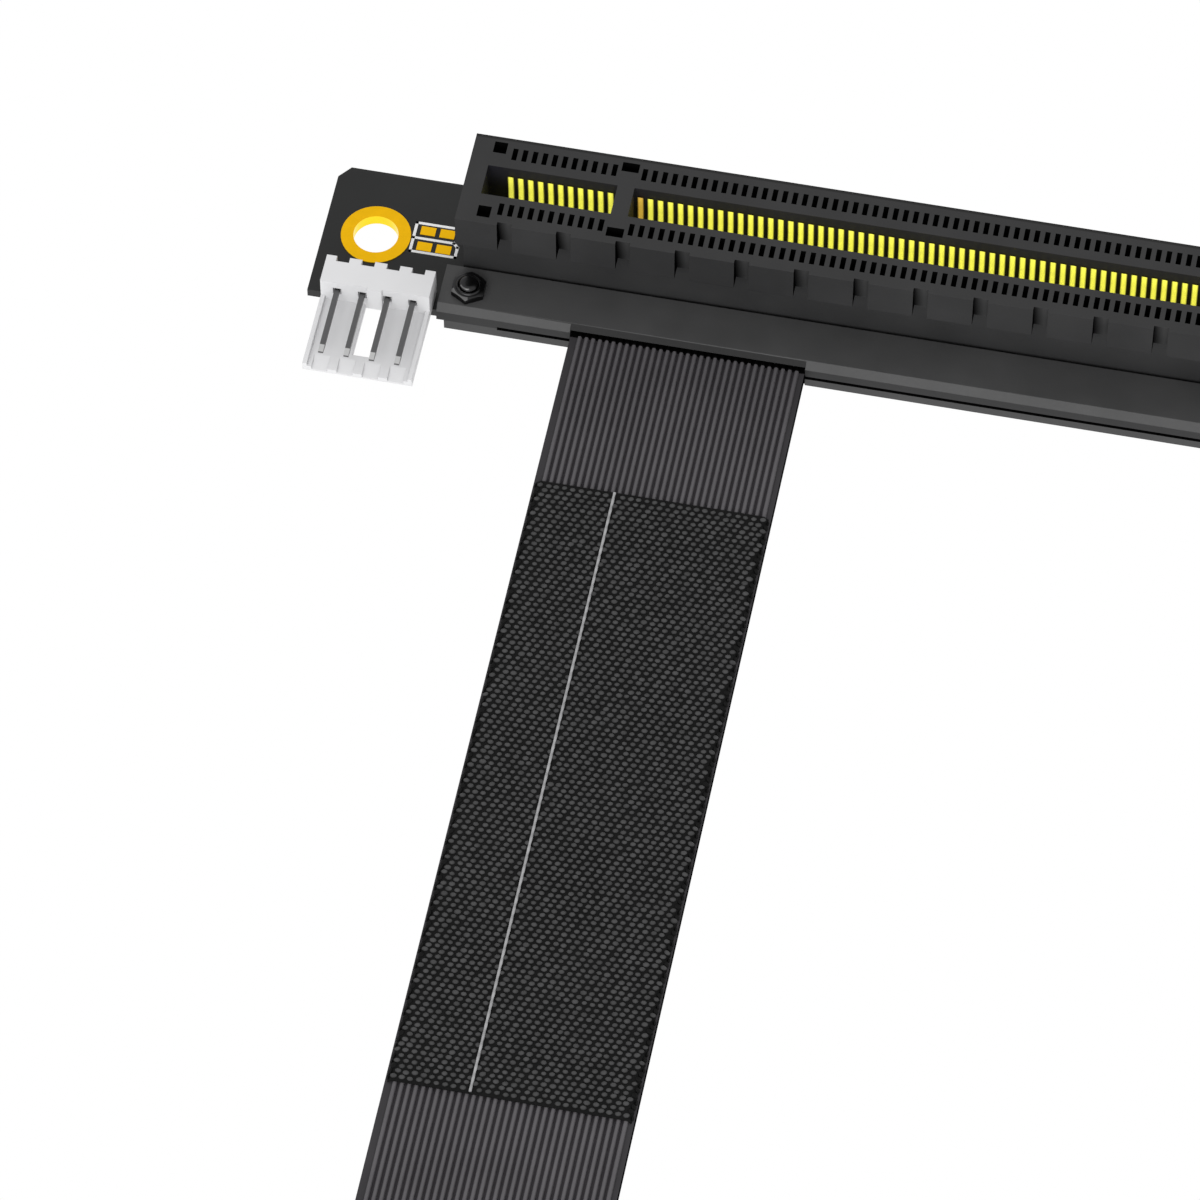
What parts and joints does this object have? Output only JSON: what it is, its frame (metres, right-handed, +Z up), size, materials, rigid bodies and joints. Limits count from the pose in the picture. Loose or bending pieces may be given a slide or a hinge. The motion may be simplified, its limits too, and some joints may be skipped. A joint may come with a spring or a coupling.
{
  "type": "pcie riser card",
  "caption": "Riser with a long card slot on a narrow board, a flat ribbed cable in a woven sleeve, and a plug board with a gold edge connector at the other end.",
  "frame": {"origin": "under the middle of the whole part, on the surface it lies on (middle of the bounding box, at its bottom)", "axes": "+Z up, the way a card leaves the slot; +Y from the plug board to the slot board, along the cable; +X along the slot, from the power header's end towards the plain mounting hole"},
  "size_m": [0.1148, 0.1376, 0.0137],
  "materials": {
    "board_black": "black solder mask over glass-fibre board, satin",
    "housing_black": "black moulded plastic, satin",
    "clamp_black": "black moulded plastic, fine satin",
    "gold": "gold plating",
    "contact_gold": "bright gold plating",
    "header_white": "natural white nylon",
    "pin_tin": "tinned",
    "screw_steel": "blackened steel",
    "cable_jacket": "black ribbed cable jacket, satin",
    "sleeve_braid": "black woven mesh",
    "tracer_grey": "light grey thread",
    "wire_tin": "tinned wire"
  },
  "bodies": {
    "root": {"slot_board": "board_black", "mounting_hole_plating": "gold", "link_pads": "gold", "slot_housing": "housing_black", "slot_contacts_back": "contact_gold", "slot_contacts_front": "contact_gold", "slot_clamp_upper_cover": "clamp_black", "slot_clamp_lower_cover": "clamp_black", "slot_clamp_screws": "screw_steel", "slot_clamp_nuts": "screw_steel", "plug_clamp_upper_cover": "clamp_black", "plug_clamp_lower_cover": "clamp_black", "plug_clamp_screws": "screw_steel", "plug_clamp_nuts": "screw_steel", "cable_ribbon_upper": "cable_jacket", "cable_ribbon_lower": "cable_jacket", "cable_sleeve": "sleeve_braid", "sleeve_tracer": "tracer_grey", "slot_end_wires_upper": "wire_tin", "slot_end_wires_lower": "wire_tin", "plug_end_wires_upper": "wire_tin", "plug_end_wires_lower": "wire_tin", "plug_board": "board_black", "plug_fingers_upper": "gold", "plug_fingers_lower": "gold", "power_header_body": "header_white", "power_header_pins": "pin_tin"}
  },
  "joints": []
}
